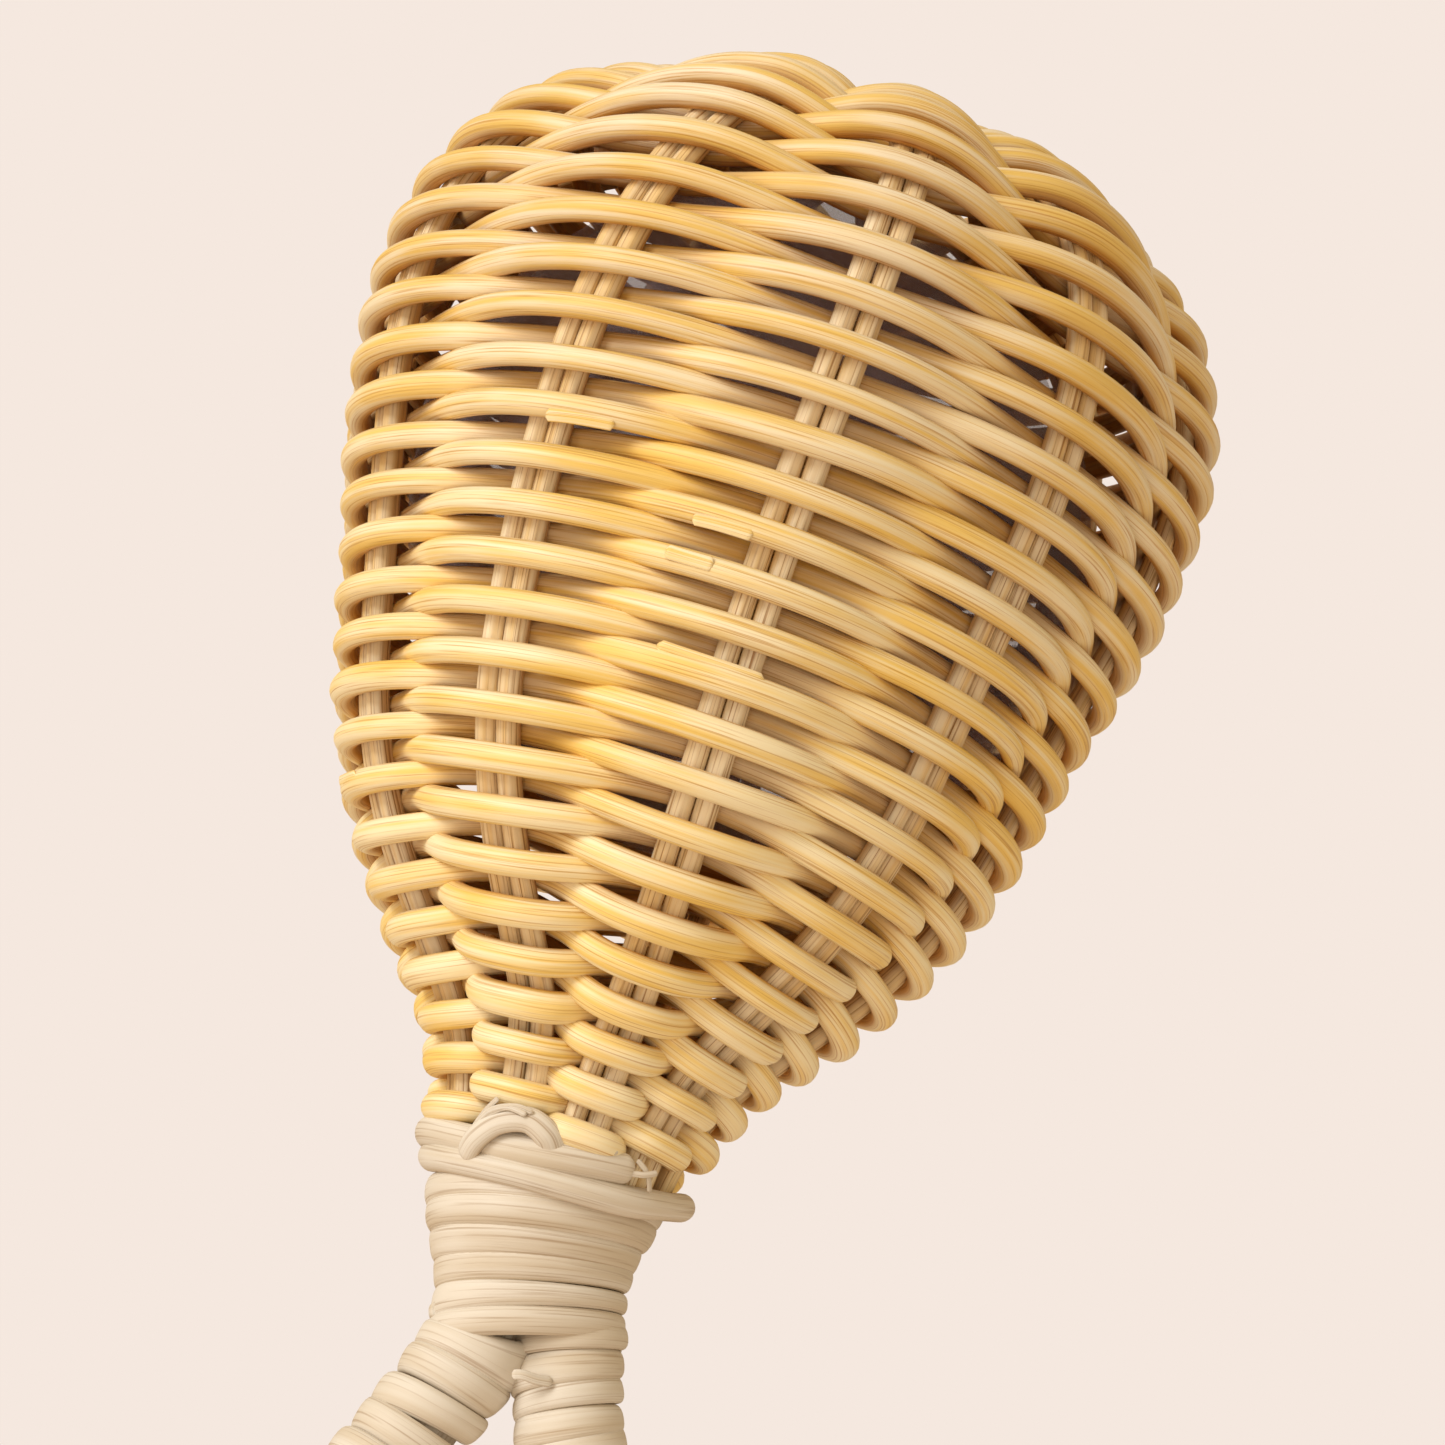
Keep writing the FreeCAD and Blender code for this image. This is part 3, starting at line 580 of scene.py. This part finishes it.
# Azimuth in degrees, distance from the axis and height above the foot in mm
LOWER_STRAND = ((-200, 9.4, 0.2), (-180, 9.3, -0.5), (-135, 9.3, -1.2), (-90, 9.3, -1.2), (-55, 9.5, -0.8),
                (-30, 9.9, 0.1), (-5, 10.4, 1.1), (25, 9.9, 1.5), (60, 9.4, 0.9), (100, 9.4, 0.4),
                (159.5, 9.4, 0.2))
UPPER_STRAND = ((-54, 9.7, 1.6), (-64, 9.8, 1.3), (-90, 9.8, 0.7), (-108, 9.6, 0.5), (-135, 9.4, 0.5),
                (-178, 10.2, 1.2), (-230, 9.6, 2.0), (-290, 9.5, 2.4), (-320, 9.4, 2.6))


def strand(path, outward, radius, flatness):
    """Strand of closed round section, flattened outwards: (r flat cos, r sin / flat), its radius wavering and
    rounded off within a radius of each end."""
    angle = np.pi + 2 * np.pi * np.arange(STRAND_SIDES) / STRAND_SIDES
    distance = length_of(path)
    near_end = np.minimum(distance, distance[-1] - distance) / radius
    rounding = np.sqrt(np.clip(1 - (1 - np.minimum(1, near_end + 0.08)) ** 2, 0.02, 1))
    size = (radius * rounding * (1 + 0.05 * wandering(distance, 5 * MM)))[:, None] * (1 + 0.02 * np.cos(3 * angle))
    return (carried(path, outward, size * flatness * np.cos(angle), size / flatness * np.sin(angle)),
            distance, np.zeros(len(path)))


def around_foot(knots, rings, radius, flatness):
    """Strand bent through knots given around the head's foot."""
    azimuth, across, above = bent(knots, rings).T
    azimuth = np.radians(azimuth)
    path = np.stack([across * MM * np.cos(azimuth), across * MM * np.sin(azimuth), FOOT + above * MM], axis=-1)
    outward = np.stack([np.cos(azimuth), np.sin(azimuth), 0 * azimuth], axis=-1)
    return strand(path, outward, radius, flatness)


strands = [around_foot(LOWER_STRAND, 260, STRAND_R * 1.08, 0.95),
           around_foot(UPPER_STRAND, 220, STRAND_R * 1.12, 0.88)]
woven_piece("collar_strand_pair", strands, strip_stuff, "root", ("collar_strands",))

# Peeled fibres ----------------------------------------------------------------------------------
# Where a reed was bent hard over a pair of rods, a thin pale fibre has here and there split off its outer
# face and stands away from it by a hair.
# (pairs passed where it begins, length in tenths of a step, turn around the reed in radians)
PEELED = ((180.9, 4.2, 0.9), (235.1, 2.2, -0.5), (128.9, 2.4, 0.6), (217.2, 1.8, 0.4), (262.7, 2.5, -0.7))
FIBRE_R = 0.17 * MM


def peeled(begin, steps, turned):
    """Flat fibre along the spiral's crest from the number of pairs begin, over a share of steps / 10 of the way
    to the next pair, turned around the reed by an angle. It stands off most at its free end."""
    passed = np.linspace(begin, begin + steps / 10, 24)
    path, normal, _, _ = reed_path(passed)
    beside = np.cross(unit(np.gradient(path, axis=0)), normal)
    t = np.linspace(0, 1, 24)[:, None]
    path = path + REED_R * (np.cos(turned) * normal + np.sin(turned) * beside) * (1.0 + 0.22 * t ** 3)
    return strand(path, normal, FIBRE_R * 1.6, 0.5)


fibres = [peeled(*place) for place in PEELED]
woven_piece("peeled_fibres", fibres, reed_stuff, "root", ("weaver_3",))

# Collar tail ------------------------------------------------------------------------------------
# The end of the binding strip springs up in a small arch over the collar and is tucked in again. It is
# frayed where it was bent, and a few torn fibres stand off it and off the cut strand beside it.
ARCH = ((-133, 9.7, -1.0), (-125, 10.8, 0.5), (-116, 11.1, 1.9), (-105, 11.0, 2.5), (-96, 10.7, 1.8),
        (-91, 9.7, 0.8))
FIBRES = (((-126, 11.2, 1.3), (-119, 11.8, 2.5), (-110, 11.9, 3.1), (-103, 11.7, 3.0)),
          ((-121, 11.6, 2.1), (-113, 11.9, 2.9), (-105, 11.9, 2.7)),
          ((-127, 11.1, 1.1), (-122, 11.6, 2.4), (-118, 11.7, 3.5)),
          ((-88, 10.6, 1.7), (-80, 10.8, 2.2), (-72, 10.8, 2.4), (-66, 10.6, 2.2)),
          ((-55, 10.3, 2.4), (-50, 10.8, 1.6), (-46, 10.8, 0.4)),
          ((-57, 10.4, 1.2), (-52, 10.9, 1.4), (-47, 11.2, 1.9)))
tail = [around_foot(ARCH, 70, 0.88 * MM, 0.82)]
tail += [around_foot(knots, 24, FIBRE_R, 0.7) for knots in FIBRES]
woven_piece("collar_tail", tail, strip_stuff, "root", ("binding_tail",))

# Loop handle ------------------------------------------------------------------------------------
# The gathered rod ends make the loop's core, which shows nowhere. The same bleached strip is wound around
# it in close turns, each lying a little over the one before it.
CORE_R = 3.1 * MM
CORE_X = 3.15 * MM
NECK_LENGTH = 14.5 * MM
SPREAD_TOP, SPREAD_LOW = math.radians(19), math.radians(32)
BEND_R = 14 * MM
LOOP_R = 24 * MM
LEG_STRIP_TOP = (10.6 * MM, 12.2 * MM)      # right and left
LEG_PITCH = (2.15 * MM, 2.7 * MM)
leg_top_x = CORE_X + BEND_R * (1 - math.cos(SPREAD_TOP))
leg_r = (LOOP_R * math.cos(SPREAD_LOW) - leg_top_x) / (math.cos(SPREAD_TOP) - math.cos(SPREAD_LOW))
leg_length = leg_r * (SPREAD_LOW - SPREAD_TOP)
straight = NECK_LENGTH - BEND_R * math.sin(SPREAD_TOP)
round_length = LOOP_R * (math.pi / 2 + SPREAD_LOW)
LEG = outline(CORE_X, [straight, BEND_R * SPREAD_TOP, leg_length, round_length],
              [0, 0, SPREAD_TOP, SPREAD_LOW, -math.pi / 2], 0)
half_length = LEG[0][-1]
loop_length = np.concatenate([LEG[0], 2 * half_length - LEG[0][-2::-1]])
loop_x = np.concatenate([LEG[1], -LEG[1][-2::-1]]) + pulled(np.concatenate([LEG[2], LEG[2][-2::-1]]))
loop_z = FOOT - np.concatenate([LEG[2], LEG[2][-2::-1]])
heading_x, heading_z = np.gradient(loop_x, loop_length), np.gradient(loop_z, loop_length)


def around_loop(length, angle, lift):
    """Point around the loop's core: centre + (R + lift)(cos a n + sin a y), with n square to the loop."""
    x, z, along_x, along_z = (np.interp(length, loop_length, v) for v in (loop_x, loop_z, heading_x, heading_z))
    reach = CORE_R + lift
    return np.stack([x - reach * np.cos(angle) * along_z, reach * np.sin(angle),
                     z + reach * np.cos(angle) * along_x], axis=-1)


leg_end = straight + BEND_R * SPREAD_TOP + leg_length
LOOP_STRIPS = (("leg_strip_right", LEG_STRIP_TOP[0], leg_end, LEG_PITCH[0], "leg_binding_right"),
               ("grip_strip", leg_end, 2 * half_length - leg_end, LEG_PITCH[0], "grip_binding"),
               ("leg_strip_left", 2 * half_length - leg_end, 2 * half_length - LEG_STRIP_TOP[1],
                LEG_PITCH[1], "leg_binding_left"))
for name, begin, end, pitch, node in LOOP_STRIPS:
    strip = wound(around_loop, begin, end, pitch, pitch * 1.10, STRIP_THICKNESS, 0.10)
    woven_piece(name, [strip], strip_stuff, "root", (node,))

CORE_RINGS = 130
core_turn = np.linspace(0, 2 * np.pi, STRIP_SIDES, endpoint=False)[::-1]
for name, begin, end in (("right", 0.3 * MM, half_length - 0.05 * MM),
                         ("left", half_length + 0.05 * MM, 2 * half_length - 0.3 * MM)):
    core_length = np.linspace(begin, end, CORE_RINGS)[:, None]
    core = around_loop(core_length, core_turn[None, :], np.full((CORE_RINGS, STRIP_SIDES), -0.05 * MM))
    core_strand = (core, core_length[:, 0], np.zeros(CORE_RINGS))
    woven_piece(f"rod_ends_{name}", [core_strand], strip_stuff, "root",
                (f"handle_core_{name}",))

SPLINTER = np.array([(4.6, -4.2, -15.0), (3.4, -4.7, -15.2), (2.3, -5.0, -15.2), (1.5, -4.9, -15.4)]) * MM
splinter_path = bent(SPLINTER, 16) + np.array([0, 0, FOOT])
woven_piece("fork_splinter", [strand(splinter_path, np.tile([0, -1.0, 0], (16, 1)), 0.25 * MM, 0.6)], strip_stuff,
            "root", ("leg_binding_right",))

# Sound capsule ----------------------------------------------------------------------------------
# A ball of thin clear plastic in two moulded halves, pressed into a narrow rim band. It lies loose in the
# head and shows through the weave only as a faint cool gleam.
clear, clear_shader, _ = new_material("clear_plastic")
clear_shader.inputs["Base Color"].default_value = (0.66, 0.58, 0.64, 1)
clear_shader.inputs["Roughness"].default_value = 0.34
clear_shader.inputs["IOR"].default_value = 1.49
clear_shader.inputs["Alpha"].default_value = 0.30
for name in ("capsule_lower_half", "capsule_upper_half", "capsule_rim"):
    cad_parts[name].data.materials.clear()
    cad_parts[name].data.materials.append(clear)

# Beads ------------------------------------------------------------------------------------------
# Seven loose beads of moulded plastic, which make the sound. Nothing holds them.
bead_stuff, bead_shader, _ = new_material("bead_plastic")
bead_shader.inputs["Base Color"].default_value = (0.80, 0.70, 0.55, 1)
bead_shader.inputs["Roughness"].default_value = 0.35
for number in range(1, 8):
    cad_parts[f"bead_{number}"].data.materials.clear()
    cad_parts[f"bead_{number}"].data.materials.append(bead_stuff)
